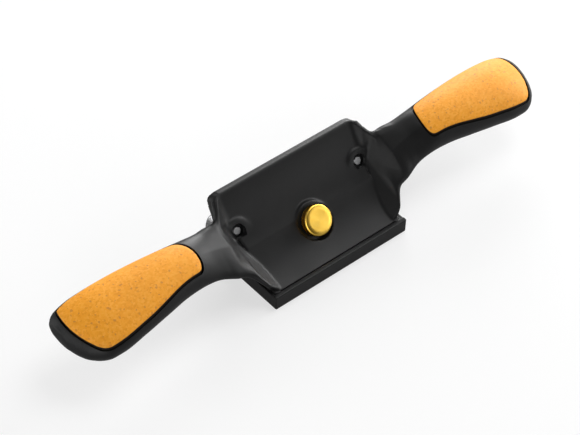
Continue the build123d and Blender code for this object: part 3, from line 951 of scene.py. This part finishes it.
def steel_finish(name, colour, rough, size_mm):
    """Turned or ground steel: a grey metal whose sheen varies over size_mm."""
    material, tree, shader, place = new_material(name, colour)
    tone = noise(tree, place, size_mm, 3.0)
    shade = ramp(tree, tone.outputs["Fac"], [(0.3, tuple(0.88 * c for c in colour)), (0.7, colour)])
    tree.links.new(shade, shader.inputs["Base Color"])
    sheen = ramp(tree, tone.outputs["Fac"], [(0.3, (rough - 0.05,) * 3), (0.7, (rough + 0.06,) * 3)])
    tree.links.new(sheen, shader.inputs["Roughness"])
    shader.inputs["Metallic"].default_value = 1.0
    bump(tree, tone.outputs["Fac"], shader, 0.001, 0.3)
    return material


screw_steel = steel_finish("turned_steel", (0.38, 0.38, 0.385), 0.34, 0.8)
for side in ("left", "right"):
    wear_it(bpy.data.objects[f"thumb_head_{side}"], screw_steel)
    wear_it(bpy.data.objects[f"thumb_stud_{side}"], screw_steel)
wear_it(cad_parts["bow_stud"], screw_steel)
ground_steel = steel_finish("ground_steel", (0.62, 0.62, 0.63), 0.26, 1.5)
wear_it(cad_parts["scraper_blade"], ground_steel)
wear_it(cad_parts["clamp_bar"], satin)

# %% [markdown]
# ## Floor and light
#
# The tool stands on white ground in soft light. Two broad low lamps are the strongest: one straight to its
# right, and one half way from there to its front. Five weaker ones stand round it, one of them high. In the
# lamps' names, front is the camera's side. Part of the ground's white is given to the camera directly, so
# that it needs no extra light.

# %% Floor
FLOOR_HALF = 4000.0
GROUND_GLOW = 0.60  # the part of the white that is given to the camera directly
MIRRORED_SHARE = 0.20  # how much of that glossy surfaces mirror
corners = np.array([(-1, -1, 0), (1, -1, 0), (1, 1, 0), (-1, 1, 0)]) * FLOOR_HALF
floor = mesh_object("floor", corners, [[0, 1, 2, 3]])
floor.location = (0, 0, -0.00002)
paper, tree, shader, _ = new_material("white_floor", (1, 1, 1))
shader.inputs["Base Color"].default_value = (0.36, 0.36, 0.36, 1)
shader.inputs["Roughness"].default_value = 1.0
shader.inputs["Specular IOR Level"].default_value = 0.0
glow = tree.nodes.new("ShaderNodeEmission")
glow.inputs["Color"].default_value = (1, 1, 1, 1)
rays = tree.nodes.new("ShaderNodeLightPath")
mirrored = tree.nodes.new("ShaderNodeMath")
mirrored.operation = "MULTIPLY"
mirrored.inputs[1].default_value = MIRRORED_SHARE
tree.links.new(rays.outputs["Is Glossy Ray"], mirrored.inputs[0])
seen = tree.nodes.new("ShaderNodeMath")
seen.operation = "MAXIMUM"
tree.links.new(rays.outputs["Is Camera Ray"], seen.inputs[0])
tree.links.new(mirrored.outputs[0], seen.inputs[1])
strength = tree.nodes.new("ShaderNodeMath")
strength.operation = "MULTIPLY"
strength.inputs[1].default_value = GROUND_GLOW
tree.links.new(seen.outputs[0], strength.inputs[0])
tree.links.new(strength.outputs[0], glow.inputs["Strength"])
both = tree.nodes.new("ShaderNodeAddShader")
tree.links.new(shader.outputs["BSDF"], both.inputs[0])
tree.links.new(glow.outputs["Emission"], both.inputs[1])
tree.links.new(both.outputs["Shader"], tree.nodes["Material Output"].inputs["Surface"])
wear_it(floor, paper)

# %% World
world = bpy.data.worlds.new("studio")
bpy.context.scene.world = world
world.use_nodes = True
tree = world.node_tree
sky = tree.nodes["Background"]
sky.inputs["Color"].default_value = (1, 1, 1, 1)
rays = tree.nodes.new("ShaderNodeLightPath")
seen = tree.nodes.new("ShaderNodeMath")
seen.operation = "MAXIMUM"
tree.links.new(rays.outputs["Is Camera Ray"], seen.inputs[0])
tree.links.new(rays.outputs["Is Transmission Ray"], seen.inputs[1])
level = tree.nodes.new("ShaderNodeMapRange")
level.inputs["To Min"].default_value = 0.02
level.inputs["To Max"].default_value = 1.0
tree.links.new(seen.outputs[0], level.inputs["Value"])
tree.links.new(level.outputs["Result"], sky.inputs["Strength"])


# %% Lamps
LAMP_SIZE = 0.9


def soft_lamp(name, place, power):
    """A square area lamp at place, turned to face the tool."""
    data = bpy.data.lights.new(name, "AREA")
    data.shape = "SQUARE"
    data.size = LAMP_SIZE
    data.energy = power
    lamp = bpy.data.objects.new(name, data)
    bpy.context.scene.collection.objects.link(lamp)
    facing = (-Vector(place)).to_track_quat("-Z", "Y").to_matrix().to_4x4()
    lamp.matrix_world = Matrix.Translation(Vector(place)) @ facing


def round_about(turn_degrees, height_degrees, distance=1.7):
    """A place at a distance from the tool, turned round it from the +x side and raised above the floor."""
    turn, height = math.radians(turn_degrees), math.radians(height_degrees)
    level = distance * math.cos(height)
    return level * math.cos(turn), level * math.sin(turn), distance * math.sin(height)


# name, turn and height in degrees, watts
for name, lamp_turn, lamp_height, power in (
    ("window_right", 0, 18, 24.0),
    ("window_back_right", 45, 18, 27.0),
    ("high_right", 0, 65, 10.0),
    ("back_left", 135, 18, 8.5),
    ("left", 180, 22, 6.5),
    ("front_left", 225, 18, 9.0),
    ("front_right", 315, 18, 5.5),
):
    soft_lamp(name, round_about(lamp_turn, lamp_height), power)
bpy.context.scene.view_settings.view_transform = "Standard"

# %% [markdown]
# ## Last line
#
# Both boxes are kept, so that the dressed model can be compared with the measured one.

# %% Finish
bpy.context.view_layer.update()
